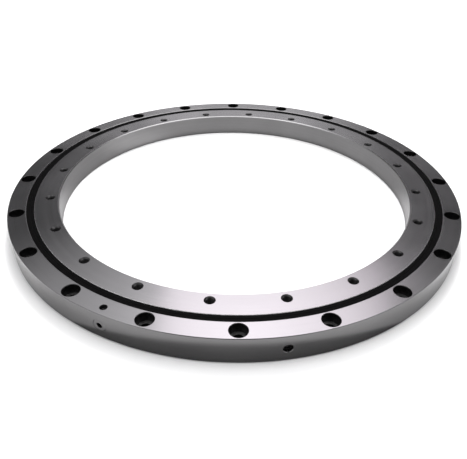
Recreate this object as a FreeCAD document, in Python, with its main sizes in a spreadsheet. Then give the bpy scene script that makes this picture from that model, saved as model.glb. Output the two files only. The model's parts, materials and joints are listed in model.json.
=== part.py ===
import FreeCAD, Part
import Sketcher
import math
import os

# A crossed roller slewing ring without teeth. Two bolted rings turn about Z on one row of cylindrical
# rollers whose axes lean outwards and inwards by turns. Millimetres. The origin is on the axis, in the
# plane of the inner ring's lower face, which is the lowest face of the bearing.

DRIVING_DIMENSIONS = {
    # rings
    "outer_diameter": 480,
    "bore_diameter": 380,
    "ring_height": 25.5,
    "ring_step": 0.5,
    "rim_chamfer": 0.5,
    "bore_chamfer": 1,
    "small_chamfer": 0.4,
    # raceway
    "raceway_diameter": 430,
    "ring_gap": 1,
    "relief_width": 1.6,
    "relief_depth": 0.4,
    # rollers and spacers
    "roller_diameter": 8,
    "roller_length": 7.8,
    "roller_edge": 0.4,
    "roller_clearance": 0.3,
    "roller_count": 140,
    "sector_count": 7,
    "spacer_diameter": 7.2,
    "spacer_length": 4.6,
    "spacer_clearance": 0.15,
    # bolt circles
    "outer_bolt_circle": 462,
    "inner_bolt_circle": 398,
    "bolt_count": 20,
    "bolt_hole_diameter": 9,
    "counterbore_diameter": 15,
    "counterbore_depth": 9,
    "tap_drill_diameter": 6.8,
    "tap_countersink_diameter": 9.8,
    "inner_ring_turn": 11.5,
    # seals
    "seal_recess_diameter": 444,
    "seal_recess_depth": 3.5,
    "seal_snap_depth": 0.5,
    "seal_snap_height": 1.2,
    "seal_inset": 0.7,
    "seal_clearance": 0.3,
    "seal_heel_width": 3.4,
    "seal_lip_thickness": 0.9,
    # loading plug and its taper pin
    "plug_turn": -27,
    "plug_diameter": 12,
    "plug_clearance": 0.02,
    "extraction_diameter": 5,
    "extraction_depth": 4.5,
    "pin_position": 232,
    "pin_diameter": 6,
    "pin_length": 20,
    "pin_inset": 3,
    "pin_taper": 0.02,
    # grease ports and nipples
    "port_turn": 9,
    "port_count": 4,
    "port_diameter": 8,
    "port_depth": 10.5,
    "port_countersink": 0.5,
    "channel_diameter": 3,
    "nipple_inset": 2.5,
    "nipple_clearance": 0.05,
    "nipple_length": 8,
    "socket_width": 5,
    "socket_depth": 1.2,
    "funnel_diameter": 3.6,
    "throat_diameter": 1.6,
    "chamber_diameter": 3.2,
    "crimp_diameter": 2,
    "crimp_length": 0.7,
    "ball_diameter": 2.5,
    "spring_diameter": 2.3,
    "spring_wire": 0.35,
    "spring_turns": 4,
}

doc = FreeCAD.newDocument("slewing_ring")
sheet = doc.addObject("Spreadsheet::Sheet", "dims")
for row, (alias, size) in enumerate(DRIVING_DIMENSIONS.items(), start=1):
    sheet.set(f"A{row}", alias)
    sheet.set(f"B{row}", str(size))
    sheet.setAlias(f"B{row}", alias)
doc.recompute()

# Derived sizes, as expressions in the sheet's names. Sketches and features are bound to these.
OUTER_RADIUS = "dims.outer_diameter / 2"
BORE_RADIUS = "dims.bore_diameter / 2"
RACEWAY_RADIUS = "dims.raceway_diameter / 2"
RACEWAY_LEVEL = "(dims.ring_height + dims.ring_step) / 2"
OUTER_RING_WALL = f"({RACEWAY_RADIUS} + dims.ring_gap / 2)"
INNER_RING_WALL = f"({RACEWAY_RADIUS} - dims.ring_gap / 2)"
OUTER_TOP = "(dims.ring_height + dims.ring_step)"
OUTER_BOTTOM = "dims.ring_step"
INNER_TOP = "dims.ring_height"
RACEWAY_HALF_DIAGONAL = "((dims.roller_diameter / 2 + dims.roller_clearance) * sqrt(2))"
RACEWAY_HALF_OPENING = f"({RACEWAY_HALF_DIAGONAL} - dims.ring_gap / 2)"
RELIEF_HALF = "(dims.relief_width / 2)"
ROLLER_PITCH = "(360 / dims.roller_count)"
ROLLERS_IN_SECTOR = "(dims.roller_count / dims.sector_count)"
BOLT_PITCH = "(360 / dims.bolt_count)"
FRONT = -90


def number(expression):
    """The value of an expression in the sheet's names."""
    value = sheet.evalExpression(expression)
    return float(getattr(value, "Value", value))


def new_body(name, turn="0", level="0", lone=True):
    """A body with its own label, turned about the bearing's axis and lifted to a level."""
    body = doc.addObject("PartDesign::Body", name)
    body.Label = name
    body.AllowCompound = not lone
    body.Placement = FreeCAD.Placement(FreeCAD.Vector(0, 0, 0), FreeCAD.Rotation(FreeCAD.Vector(0, 0, 1), 1))
    body.setExpression("Placement.Rotation.Angle", turn)
    body.setExpression("Placement.Base.z", level)
    return body


def origin_feature(body, role):
    """One of the planes or axes of the body's own origin."""
    return next(feature for feature in body.Origin.OriginFeatures if feature.Role == role)


def new_sketch(body, name, plane, offset=("0", "0", "0"), turn="0"):
    """A sketch on one of the body's planes, moved by offset and turned in its own plane."""
    sketch = body.newObject("Sketcher::SketchObject", name)
    sketch.AttachmentSupport = [(origin_feature(body, plane), "")]
    sketch.MapMode = "FlatFace"
    start = FreeCAD.Vector(*[number(distance) for distance in offset])
    sketch.AttachmentOffset = FreeCAD.Placement(start, FreeCAD.Rotation(FreeCAD.Vector(0, 0, 1), 1))
    for axis, distance in zip("xyz", offset):
        sketch.setExpression(f"AttachmentOffset.Base.{axis}", distance)
    sketch.setExpression("AttachmentOffset.Rotation.Angle", turn)
    return sketch


def bind(sketch, constraint, expression):
    """Adds a dimension whose value is an expression in the sheet's names."""
    index = sketch.addConstraint(constraint)
    sketch.setExpression(f"Constraints[{index}]", expression)


def fix_point(sketch, edge, end, across, up):
    """Ties one vertex to the sketch's origin, or to an axis where its distance is nothing."""
    vertex = (edge, end)
    for kind, distance, axis in (("DistanceX", across, -2), ("DistanceY", up, -1)):
        if distance == "0":
            sketch.addConstraint(Sketcher.Constraint("PointOnObject", *vertex, axis))
        else:
            constraint = Sketcher.Constraint(kind, -1, 1, *vertex, number(distance))
            bind(sketch, constraint, distance)


def add_outline(sketch, points):
    """A closed outline of straight edges through points, each a pair of expressions."""
    places = [FreeCAD.Vector(number(across), number(up), 0) for across, up in points]
    first = sketch.GeometryCount
    count = len(points)
    for index in range(count):
        sketch.addGeometry(Part.LineSegment(places[index], places[(index + 1) % count]), False)
    for index in range(count):
        following = first + (index + 1) % count
        sketch.addConstraint(Sketcher.Constraint("Coincident", first + index, 2, following, 1))
    for index, (across, up) in enumerate(points):
        fix_point(sketch, first + index, 1, across, up)


def add_circle(sketch, across, up, radius):
    """A circle with its centre tied to the sketch's origin."""
    centre = FreeCAD.Vector(number(across), number(up), 0)
    circle = Part.Circle(centre, FreeCAD.Vector(0, 0, 1), number(radius))
    index = sketch.addGeometry(circle, False)
    fix_point(sketch, index, 3, across, up)
    bind(sketch, Sketcher.Constraint("Radius", index, number(radius)), radius)
    return index


def turn_solid(body, name, sketch, axis, kind="Revolution"):
    """Revolves a sketch a full turn about one of its own axes, as a Revolution or a Groove."""
    feature = body.newObject(f"PartDesign::{kind}", name)
    feature.Profile = sketch
    feature.ReferenceAxis = (sketch, [axis])
    feature.Angle = 360
    return feature


def repeat(body, name, features, count, extent="360"):
    """Repeats features about the bearing's axis, count of them over the extent in degrees."""
    pattern = body.newObject("PartDesign::PolarPattern", name)
    pattern.Originals = features
    pattern.Axis = (origin_feature(body, "Z_Axis"), [""])
    pattern.Mode = "Extent"
    pattern.setExpression("Angle", extent)
    pattern.setExpression("Occurrences", count)
    body.Tip = pattern
    return pattern


def drill(body, name, sketch, diameter, depth=None, mouth=None, upwards=False):
    """Drills at each circle of the sketch, right through or to a flat floor at a depth.

    A mouth diameter adds a 90 degree countersink. The drill goes down, or up from a lower face.
    """
    doc.recompute()
    hole = body.newObject("PartDesign::Hole", name)
    hole.Profile = sketch
    hole.Reversed = upwards
    hole.setExpression("Diameter", diameter)
    if depth:
        hole.DepthType = "Dimension"
        hole.DrillPoint = "Flat"
        hole.setExpression("Depth", depth)
    else:
        hole.DepthType = "ThroughAll"
    if mouth:
        hole.HoleCutType = "Countersink"
        hole.HoleCutCustomValues = True
        hole.setExpression("HoleCutDiameter", mouth)
        hole.HoleCutCountersinkAngle = 90
    return hole


def raceway_points(wall, apex, outward):
    """The V groove with its relief slot, from its lower edge to its upper edge."""
    sign = "+" if outward else "-"
    back = "-" if outward else "+"
    shoulder = f"{apex} {back} {RELIEF_HALF}"
    floor = f"{apex} {sign} dims.relief_depth"
    return [
        (wall, f"{RACEWAY_LEVEL} - {RACEWAY_HALF_OPENING}"),
        (shoulder, f"{RACEWAY_LEVEL} - {RELIEF_HALF}"),
        (floor, f"{RACEWAY_LEVEL} - {RELIEF_HALF}"),
        (floor, f"{RACEWAY_LEVEL} + {RELIEF_HALF}"),
        (shoulder, f"{RACEWAY_LEVEL} + {RELIEF_HALF}"),
        (wall, f"{RACEWAY_LEVEL} + {RACEWAY_HALF_OPENING}"),
    ]


OUTER_APEX = f"({RACEWAY_RADIUS} + {RACEWAY_HALF_DIAGONAL})"
INNER_APEX = f"({RACEWAY_RADIUS} - {RACEWAY_HALF_DIAGONAL})"
RECESS_RADIUS = "dims.seal_recess_diameter / 2"
SNAP_RADIUS = f"({RECESS_RADIUS} + dims.seal_snap_depth)"


def seal_recess_points(face, into):
    """One seal recess with its snap groove, from the ring's face to the wall of the ring gap."""
    away = "+" if into == "-" else "-"
    floor = f"{face} {into} dims.seal_recess_depth"
    return [
        (f"{RECESS_RADIUS} + dims.small_chamfer", face),
        (RECESS_RADIUS, f"{face} {into} dims.small_chamfer"),
        (RECESS_RADIUS, f"{floor} {away} dims.seal_snap_height {away} dims.seal_snap_depth"),
        (SNAP_RADIUS, f"{floor} {away} dims.seal_snap_height"),
        (SNAP_RADIUS, floor),
        (OUTER_RING_WALL, floor),
    ]


def make_outer_ring():
    """The outer ring. In its own frame the loading plug lies along +X."""
    body = new_body("outer_ring", turn=f"{FRONT} + dims.plug_turn")
    section = new_sketch(body, "outer_ring_section", "XZ_Plane")
    rim = [
        (f"{OUTER_RADIUS} - dims.rim_chamfer", OUTER_BOTTOM),
        (OUTER_RADIUS, f"{OUTER_BOTTOM} + dims.rim_chamfer"),
        (OUTER_RADIUS, f"{OUTER_TOP} - dims.rim_chamfer"),
        (f"{OUTER_RADIUS} - dims.rim_chamfer", OUTER_TOP),
    ]
    upper = seal_recess_points(OUTER_TOP, "-")
    lower = seal_recess_points(OUTER_BOTTOM, "+")[::-1]
    raceway = raceway_points(OUTER_RING_WALL, OUTER_APEX, outward=True)[::-1]
    add_outline(section, rim + upper + raceway + lower)
    turn_solid(body, "outer_ring_blank", section, "V_Axis")

    bolt_place = new_sketch(body, "bolt_hole_place", "XY_Plane", ("0", "0", OUTER_TOP), f"{BOLT_PITCH} / 2")
    add_circle(bolt_place, "dims.outer_bolt_circle / 2", "0", "dims.bolt_hole_diameter / 2")
    bolt_hole = drill(body, "bolt_hole", bolt_place, "dims.bolt_hole_diameter")
    counterbore = drill(body, "counterbore", bolt_place, "dims.counterbore_diameter",
                        "dims.counterbore_depth", "dims.counterbore_diameter + 2 * dims.small_chamfer")
    repeat(body, "bolt_holes", [bolt_hole, counterbore], "dims.bolt_count")

    plug_hole = new_sketch(body, "plug_hole_section", "XY_Plane", ("0", "0", RACEWAY_LEVEL))
    add_outline(plug_hole, [
        (f"{RACEWAY_RADIUS} - dims.ring_gap", "0"),
        (f"{RACEWAY_RADIUS} - dims.ring_gap", "dims.plug_diameter / 2"),
        (f"{OUTER_RADIUS} + dims.rim_chamfer", "dims.plug_diameter / 2"),
        (f"{OUTER_RADIUS} + dims.rim_chamfer", "0"),
    ])
    turn_solid(body, "plug_hole", plug_hole, "H_Axis", "Groove")

    pin_hole = new_sketch(body, "pin_hole_section", "XZ_Plane", ("dims.pin_position", "0", "0"))
    add_outline(pin_hole, taper_points(OUTER_BOTTOM, OUTER_TOP))
    turn_solid(body, "pin_hole", pin_hole, "V_Axis", "Groove")

    port = new_sketch(body, "port_section", "XY_Plane", ("0", "0", RACEWAY_LEVEL),
                      "dims.port_turn - dims.plug_turn")
    port_floor = f"{OUTER_RADIUS} - dims.port_depth"
    beyond = f"{OUTER_RADIUS} + dims.port_countersink"
    add_outline(port, [
        (f"{OUTER_APEX}", "0"),
        (f"{OUTER_APEX}", "dims.channel_diameter / 2"),
        (port_floor, "dims.channel_diameter / 2"),
        (port_floor, "dims.port_diameter / 2"),
        (f"{OUTER_RADIUS} - dims.port_countersink", "dims.port_diameter / 2"),
        (beyond, "dims.port_diameter / 2 + dims.port_countersink * 2"),
        (beyond, "0"),
    ])
    port_cut = turn_solid(body, "port", port, "H_Axis", "Groove")
    repeat(body, "ports", [port_cut], "dims.port_count")
    return body


def taper_points(low, high, slack="0"):
    """Half of a taper pin or its hole between two levels, widest at the top of the pin."""
    pin_top = f"({OUTER_TOP} - dims.pin_inset)"
    half = "(dims.pin_diameter / 2 - {slack} + ({level} - {top}) * dims.pin_taper / 2)"
    return [
        ("0", low),
        (half.format(slack=slack, level=low, top=pin_top), low),
        (half.format(slack=slack, level=high, top=pin_top), high),
        ("0", high),
    ]


def make_inner_ring():
    """The inner ring, with its threaded holes drilled to tapping size and countersunk on both faces."""
    body = new_body("inner_ring", turn=f"{FRONT} + dims.inner_ring_turn")
    section = new_sketch(body, "inner_ring_section", "XZ_Plane")
    chamfer = "dims.bore_chamfer"
    small = "dims.small_chamfer"
    raceway = raceway_points(INNER_RING_WALL, INNER_APEX, outward=False)
    add_outline(section, [
        (f"{BORE_RADIUS} + {chamfer}", "0"),
        (f"{INNER_RING_WALL} - {small}", "0"),
        (INNER_RING_WALL, small),
        *raceway,
        (INNER_RING_WALL, f"{INNER_TOP} - {small}"),
        (f"{INNER_RING_WALL} - {small}", INNER_TOP),
        (f"{BORE_RADIUS} + {chamfer}", INNER_TOP),
        (BORE_RADIUS, f"{INNER_TOP} - {chamfer}"),
        (BORE_RADIUS, chamfer),
    ])
    turn_solid(body, "inner_ring_blank", section, "V_Axis")
    drilled = []
    for side, level, upwards in (("upper", INNER_TOP, False), ("lower", "0", True)):
        place = new_sketch(body, f"{side}_tapped_hole_place", "XY_Plane", ("0", "0", level))
        add_circle(place, "dims.inner_bolt_circle / 2", "0", "dims.tap_drill_diameter / 2")
        drilled.append(drill(body, f"{side}_tapped_hole", place, "dims.tap_drill_diameter",
                             mouth="dims.tap_countersink_diameter", upwards=upwards))
    repeat(body, "tapped_holes", drilled, "dims.bolt_count")
    return body


def make_seal(name, face, into):
    """A rubber seal: a heel held in the outer ring's recess and a lip that runs beside the inner ring."""
    body = new_body(name)
    away = "+" if into == "-" else "-"
    crown = f"{face} {into} dims.seal_inset"
    floor = f"{face} {into} dims.seal_recess_depth"
    heel = f"{RECESS_RADIUS} - dims.seal_heel_width"
    tip = f"{INNER_RING_WALL} + dims.seal_clearance"
    under = f"{crown} {into} dims.seal_lip_thickness"
    section = new_sketch(body, f"{name}_section", "XZ_Plane")
    add_outline(section, [
        (f"{RECESS_RADIUS} - dims.small_chamfer", crown),
        (RECESS_RADIUS, f"{crown} {into} dims.small_chamfer"),
        (RECESS_RADIUS, f"{floor} {away} dims.seal_snap_height {away} dims.seal_snap_depth"),
        (SNAP_RADIUS, f"{floor} {away} dims.seal_snap_height"),
        (SNAP_RADIUS, floor),
        (f"{heel}", floor),
        (f"{heel}", f"{under} {into} dims.small_chamfer"),
        (f"{tip} + dims.small_chamfer", f"{under} {into} dims.small_chamfer"),
        (tip, under),
        (tip, f"{crown} {into} dims.small_chamfer"),
        (f"{heel} - dims.small_chamfer", f"{crown} {into} dims.small_chamfer"),
        (f"{heel}", crown),
    ])
    turn_solid(body, f"{name}_ring", section, "V_Axis")
    return body


def make_loading_plug():
    """The plug that closes the filling hole, with its share of the raceway cut in its inner end."""
    body = new_body("loading_plug", turn=f"{FRONT} + dims.plug_turn")
    radius = "(dims.plug_diameter / 2 - dims.plug_clearance)"
    rod = new_sketch(body, "plug_section", "XY_Plane", ("0", "0", RACEWAY_LEVEL))
    add_outline(rod, [
        (OUTER_RING_WALL, "0"),
        (OUTER_RING_WALL, radius),
        (f"{OUTER_RADIUS} - dims.small_chamfer", radius),
        (OUTER_RADIUS, f"{radius} - dims.small_chamfer"),
        (OUTER_RADIUS, "0"),
    ])
    turn_solid(body, "plug_rod", rod, "H_Axis")

    raceway = new_sketch(body, "plug_raceway_section", "XZ_Plane")
    inside = f"{INNER_APEX}"
    groove = raceway_points(OUTER_RING_WALL, OUTER_APEX, outward=True)
    above = f"{RACEWAY_LEVEL} + dims.plug_diameter"
    below = f"{RACEWAY_LEVEL} - dims.plug_diameter"
    add_outline(raceway, [
        (inside, below),
        (OUTER_RING_WALL, below),
        *groove,
        (OUTER_RING_WALL, above),
        (inside, above),
    ])
    turn_solid(body, "plug_raceway", raceway, "V_Axis", "Groove")

    extraction = new_sketch(body, "extraction_hole_section", "XY_Plane", ("0", "0", RACEWAY_LEVEL))
    hole_floor = f"{OUTER_RADIUS} - dims.extraction_depth"
    hole_radius = "dims.extraction_diameter / 2"
    add_outline(extraction, [
        (hole_floor, "0"),
        (hole_floor, hole_radius),
        (f"{OUTER_RADIUS} - dims.small_chamfer", hole_radius),
        (f"{OUTER_RADIUS} + dims.small_chamfer", f"{hole_radius} + 2 * dims.small_chamfer"),
        (f"{OUTER_RADIUS} + dims.small_chamfer", "0"),
    ])
    turn_solid(body, "extraction_hole", extraction, "H_Axis", "Groove")

    pin_hole = new_sketch(body, "plug_pin_hole_section", "XZ_Plane", ("dims.pin_position", "0", "0"))
    add_outline(pin_hole, taper_points(OUTER_BOTTOM, OUTER_TOP))
    turn_solid(body, "plug_pin_hole", pin_hole, "V_Axis", "Groove")
    return body


def make_taper_pin():
    """The taper pin that locks the loading plug, driven in from above."""
    body = new_body("plug_taper_pin", turn=f"{FRONT} + dims.plug_turn")
    section = new_sketch(body, "taper_pin_section", "XZ_Plane", ("dims.pin_position", "0", "0"))
    pin_top = f"({OUTER_TOP} - dims.pin_inset)"
    pin_bottom = f"({pin_top} - dims.pin_length)"
    bottom_centre, bottom_rim, top_rim, top_centre = taper_points(pin_bottom, pin_top, "dims.plug_clearance")
    chamfer = "dims.small_chamfer"
    add_outline(section, [
        bottom_centre,
        (f"{bottom_rim[0]} - {chamfer}", pin_bottom),
        (bottom_rim[0], f"{pin_bottom} + {chamfer}"),
        (top_rim[0], f"{pin_top} - {chamfer}"),
        (f"{top_rim[0]} - {chamfer}", pin_top),
        top_centre,
    ])
    turn_solid(body, "taper_pin", section, "V_Axis")
    return body


NIPPLE_FACE = f"({OUTER_RADIUS} - dims.nipple_inset)"
SOCKET_FLOOR = f"({NIPPLE_FACE} - dims.socket_depth)"
FUNNEL_DEPTH = "((dims.funnel_diameter - dims.throat_diameter) / 2)"
THROAT = f"({SOCKET_FLOOR} - {FUNNEL_DEPTH})"
SEAT_DEPTH = "((dims.chamber_diameter - dims.throat_diameter) / 2)"
SEAT = f"({THROAT} - dims.small_chamfer)"
NIPPLE_END = f"({NIPPLE_FACE} - dims.nipple_length)"
CHAMBER_END = f"({NIPPLE_END} + dims.crimp_length)"
# The ball closes on the 45 degree seat, but for a running clearance.
BALL_CENTRE = f"({SEAT} + dims.throat_diameter / 2 - dims.ball_diameter / sqrt(2) - dims.plug_clearance)"


def port_angle(index):
    """The direction of one grease port about the bearing's axis."""
    return f"{FRONT} + dims.port_turn + {index} * 360 / dims.port_count"


def make_grease_nipple(index):
    """A recessed funnel nipple, screwed into one port. It lies along +X in its own frame."""
    body = new_body(f"grease_nipple_{index + 1}", port_angle(index), RACEWAY_LEVEL)
    radius = "(dims.port_diameter / 2 - dims.nipple_clearance)"
    section = new_sketch(body, "nipple_section", "XY_Plane")
    add_outline(section, [
        (NIPPLE_END, "dims.crimp_diameter / 2"),
        (NIPPLE_END, f"{radius} - dims.small_chamfer"),
        (f"{NIPPLE_END} + dims.small_chamfer", radius),
        (f"{NIPPLE_FACE} - dims.small_chamfer", radius),
        (NIPPLE_FACE, f"{radius} - dims.small_chamfer"),
        (NIPPLE_FACE, "dims.funnel_diameter / 2"),
        (SOCKET_FLOOR, "dims.funnel_diameter / 2"),
        (THROAT, "dims.throat_diameter / 2"),
        (SEAT, "dims.throat_diameter / 2"),
        (f"{SEAT} - {SEAT_DEPTH}", "dims.chamber_diameter / 2"),
        (CHAMBER_END, "dims.chamber_diameter / 2"),
        (CHAMBER_END, "dims.crimp_diameter / 2"),
    ])
    turn_solid(body, "nipple_blank", section, "H_Axis")
    add_hex_socket(body)
    return body


def add_hex_socket(body):
    """The hexagonal socket in the nipple's outer face, cut inwards along the nipple's axis."""
    socket = new_sketch(body, "socket_outline", "YZ_Plane", ("0", "0", NIPPLE_FACE))
    corner_radius = "dims.socket_width / sqrt(3)"
    corners = [(math.cos(math.radians(60 * step)), math.sin(math.radians(60 * step))) for step in range(6)]
    first = socket.GeometryCount
    size = number(corner_radius)
    places = [FreeCAD.Vector(across * size, up * size, 0) for across, up in corners]
    for index in range(6):
        socket.addGeometry(Part.LineSegment(places[index], places[(index + 1) % 6]), False)
    rim = socket.addGeometry(Part.Circle(FreeCAD.Vector(0, 0, 0), FreeCAD.Vector(0, 0, 1), size), True)
    socket.addConstraint(Sketcher.Constraint("Coincident", rim, 3, -1, 1))
    bind(socket, Sketcher.Constraint("Radius", rim, size), corner_radius)
    for index in range(6):
        socket.addConstraint(Sketcher.Constraint("Coincident", first + index, 2, first + (index + 1) % 6, 1))
        socket.addConstraint(Sketcher.Constraint("PointOnObject", first + index, 1, rim))
        if index:
            socket.addConstraint(Sketcher.Constraint("Equal", first, first + index))
    socket.addConstraint(Sketcher.Constraint("PointOnObject", first, 1, -1))
    pocket = body.newObject("PartDesign::Pocket", "socket")
    pocket.Profile = socket
    pocket.setExpression("Length", "dims.socket_depth")


def make_nipple_ball(index):
    """The ball that closes the nipple from inside."""
    body = new_body(f"nipple_ball_{index + 1}", port_angle(index), RACEWAY_LEVEL)
    ball = body.newObject("PartDesign::AdditiveSphere", "ball")
    ball.setExpression("Radius", "dims.ball_diameter / 2")
    ball.setExpression("Placement.Base.x", BALL_CENTRE)
    return body


def make_nipple_spring(index):
    """The coil spring behind the ball, wound about the nipple's axis."""
    body = new_body(f"nipple_spring_{index + 1}", port_angle(index), RACEWAY_LEVEL)
    coil_radius = "(dims.spring_diameter / 2)"
    start = f"({CHAMBER_END} + dims.spring_wire)"
    # The last coil rests behind the ball: its wire is a ball's and a wire's radius from the ball's centre.
    touching = "((dims.ball_diameter + dims.spring_wire) / 2 + dims.plug_clearance)"
    end = f"({BALL_CENTRE} - sqrt(pow({touching}; 2) - pow({coil_radius}; 2)))"
    wire = new_sketch(body, "spring_wire_section", "XY_Plane")
    add_circle(wire, start, coil_radius, "dims.spring_wire / 2")
    coil = body.newObject("PartDesign::AdditiveHelix", "spring_coil")
    coil.Profile = wire
    coil.ReferenceAxis = (wire, ["H_Axis"])
    coil.Mode = "height-turns-angle"
    coil.setExpression("Height", f"{end} - {start}")
    coil.setExpression("Turns", "dims.spring_turns")
    return body


def sector_turn(sector, places):
    """The angle of a sector's first roller, moved on by a number of roller places."""
    return f"({sector} * {ROLLERS_IN_SECTOR} + {places}) * {ROLLER_PITCH}"


def repeat_in_sector(body, name, features):
    """Repeats features on every second roller place of one sector."""
    count = f"{ROLLERS_IN_SECTOR} / 2"
    repeat(body, name, features, count, f"({count} - 1) * 2 * {ROLLER_PITCH}")


def make_rollers(name, sector, places, lean):
    """Every second roller of one sector, all with their axes leaning the same way."""
    body = new_body(name, sector_turn(sector, places), lone=False)
    section = new_sketch(body, "roller_section", "XZ_Plane", (RACEWAY_RADIUS, RACEWAY_LEVEL, "0"), lean)
    radius = "dims.roller_diameter / 2"
    half = "dims.roller_length / 2"
    edge = "dims.roller_edge"
    add_outline(section, [
        ("0", f"-{half}"),
        (f"{radius} - {edge}", f"-{half}"),
        (radius, f"-{half} + {edge}"),
        (radius, f"{half} - {edge}"),
        (f"{radius} - {edge}", half),
        ("0", half),
    ])
    roller = turn_solid(body, "roller", section, "V_Axis")
    repeat_in_sector(body, "rollers", [roller])
    return body


def make_spacers(name, sector, places, lean):
    """Every second spacer of one sector: a disc with a saddle on each side for its roller."""
    body = new_body(name, sector_turn(sector, f"({places} + 0.5)"), lone=False)
    outline = new_sketch(body, "spacer_outline", "XZ_Plane")
    add_circle(outline, RACEWAY_RADIUS, RACEWAY_LEVEL, "dims.spacer_diameter / 2")
    disc = body.newObject("PartDesign::Pad", "spacer_disc")
    disc.Profile = outline
    disc.Midplane = True
    disc.setExpression("Length", "dims.spacer_length")
    features = [disc]
    to_roller = f"{RACEWAY_RADIUS} * sin({ROLLER_PITCH} / 2)"
    for side, side_lean in (("", lean), ("-", f"-({lean})")):
        place = (f"{RACEWAY_RADIUS} * cos({ROLLER_PITCH} / 2)", RACEWAY_LEVEL, f"{side}{to_roller}")
        saddle = new_sketch(body, "saddle_section", "XZ_Plane", place, side_lean)
        reach = "dims.spacer_diameter"
        width = "dims.roller_diameter / 2 + dims.spacer_clearance"
        add_outline(saddle, [("0", f"-{reach}"), (width, f"-{reach}"), (width, reach), ("0", reach)])
        features.append(turn_solid(body, "saddle", saddle, "V_Axis", "Groove"))
    repeat_in_sector(body, "spacers", features)
    return body


def make_rolling_set():
    """The rollers and spacers, grouped by sector and by the way they lean."""
    bodies = []
    for sector in range(round(number("dims.sector_count"))):
        for places, way, lean in ((0, "outward", "-45"), (1, "inward", "45")):
            bodies.append(make_rollers(f"rollers_{way}_{sector + 1}", sector, places, lean))
            bodies.append(make_spacers(f"spacers_{way}_{sector + 1}", sector, places, lean))
    return bodies


def make_nipples():
    """Each port's nipple, ball and spring."""
    makers = (make_grease_nipple, make_nipple_ball, make_nipple_spring)
    ports = range(round(number("dims.port_count")))
    return [make(index) for index in ports for make in makers]


def check(bodies):
    """Stops if any object failed, or if any piece is empty or not valid."""
    failed = [item.Name for item in doc.Objects if {"Invalid", "Error"} & set(item.State)]
    if failed:
        raise RuntimeError(f"failed objects: {failed}")
    for body in bodies:
        shape = body.Shape
        if shape.isNull() or not shape.isValid() or not shape.Solids:
            raise RuntimeError(f"{body.Label} has no valid solid")


def write_pieces(bodies):
    """Writes each piece to its own file and prints its volume in cubic millimetres."""
    os.makedirs("parts", exist_ok=True)
    for body in bodies:
        body.Shape.exportStep(f"parts/{body.Label}.step")
        print(f"{body.Label}: {len(body.Shape.Solids)} solids, {body.Shape.Volume:.1f} mm3")


pieces = [
    make_outer_ring(),
    make_inner_ring(),
    make_seal("upper_seal", OUTER_TOP, "-"),
    make_seal("lower_seal", OUTER_BOTTOM, "+"),
    make_loading_plug(),
    make_taper_pin(),
    *make_nipples(),
    *make_rolling_set(),
]
doc.recompute()
check(pieces)
write_pieces(pieces)
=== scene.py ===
import json
import math

import bpy
from mathutils import Matrix, Vector


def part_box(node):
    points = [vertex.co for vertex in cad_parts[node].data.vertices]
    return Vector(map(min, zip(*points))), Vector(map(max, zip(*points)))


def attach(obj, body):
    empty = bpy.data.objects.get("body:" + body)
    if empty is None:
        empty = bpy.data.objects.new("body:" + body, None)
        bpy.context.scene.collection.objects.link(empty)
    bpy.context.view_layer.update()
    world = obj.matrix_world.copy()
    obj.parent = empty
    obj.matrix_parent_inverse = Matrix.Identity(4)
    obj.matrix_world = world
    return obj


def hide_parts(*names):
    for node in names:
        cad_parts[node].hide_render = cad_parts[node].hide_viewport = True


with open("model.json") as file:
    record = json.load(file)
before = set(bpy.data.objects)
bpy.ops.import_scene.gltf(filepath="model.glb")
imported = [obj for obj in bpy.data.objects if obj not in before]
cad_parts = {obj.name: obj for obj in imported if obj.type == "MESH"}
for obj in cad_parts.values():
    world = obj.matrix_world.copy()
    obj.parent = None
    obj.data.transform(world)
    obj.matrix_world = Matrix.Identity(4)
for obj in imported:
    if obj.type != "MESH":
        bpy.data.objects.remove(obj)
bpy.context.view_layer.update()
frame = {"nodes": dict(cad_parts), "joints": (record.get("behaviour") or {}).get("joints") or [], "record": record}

# A crossed roller slewing ring on a pale studio floor. Both rings and both seals are turned here as fine
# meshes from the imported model's own sizes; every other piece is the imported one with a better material.

MM = 0.001
MOUNTS = {mount["name"]: mount for mount in frame["record"]["mounts"]}


def mount_size(name, size):
    """A mount's dimension, in metres."""
    return MOUNTS[name]["dims"][size] * MM


def face_level(name):
    """The height of a flat face mount."""
    return MOUNTS[name]["pos_m"][2]


# Sizes from the frame
RIM_RADIUS = mount_size("outer_centring_diameter", "r_mm")
BORE_RADIUS = mount_size("inner_bore", "r_mm")
OUTER_BOLT_RADIUS = mount_size("outer_bolt_circle", "pcd_mm") / 2
INNER_BOLT_RADIUS = mount_size("inner_bolt_circle", "pcd_mm") / 2
BOLT_HOLE_RADIUS = mount_size("outer_bolt_circle", "hole_r_mm")
TAP_DRILL_RADIUS = mount_size("inner_bolt_circle", "hole_r_mm")
BOLT_COUNT = MOUNTS["outer_bolt_circle"]["dims"]["count"]
OUTER_TOP = face_level("outer_ring_upper_face")
OUTER_BOTTOM = face_level("outer_ring_lower_face")
INNER_TOP = face_level("inner_ring_upper_face")
INNER_BOTTOM = face_level("inner_ring_lower_face")
RACEWAY_LEVEL = frame["joints"][0]["pos_m"][2]
INNER_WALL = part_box("inner_ring")[1].x
SNAP_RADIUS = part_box("upper_seal")[1].x
SEAL_CROWN = OUTER_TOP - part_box("upper_seal")[1].z
SEAL_FLOOR = OUTER_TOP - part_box("upper_seal")[0].z

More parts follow.
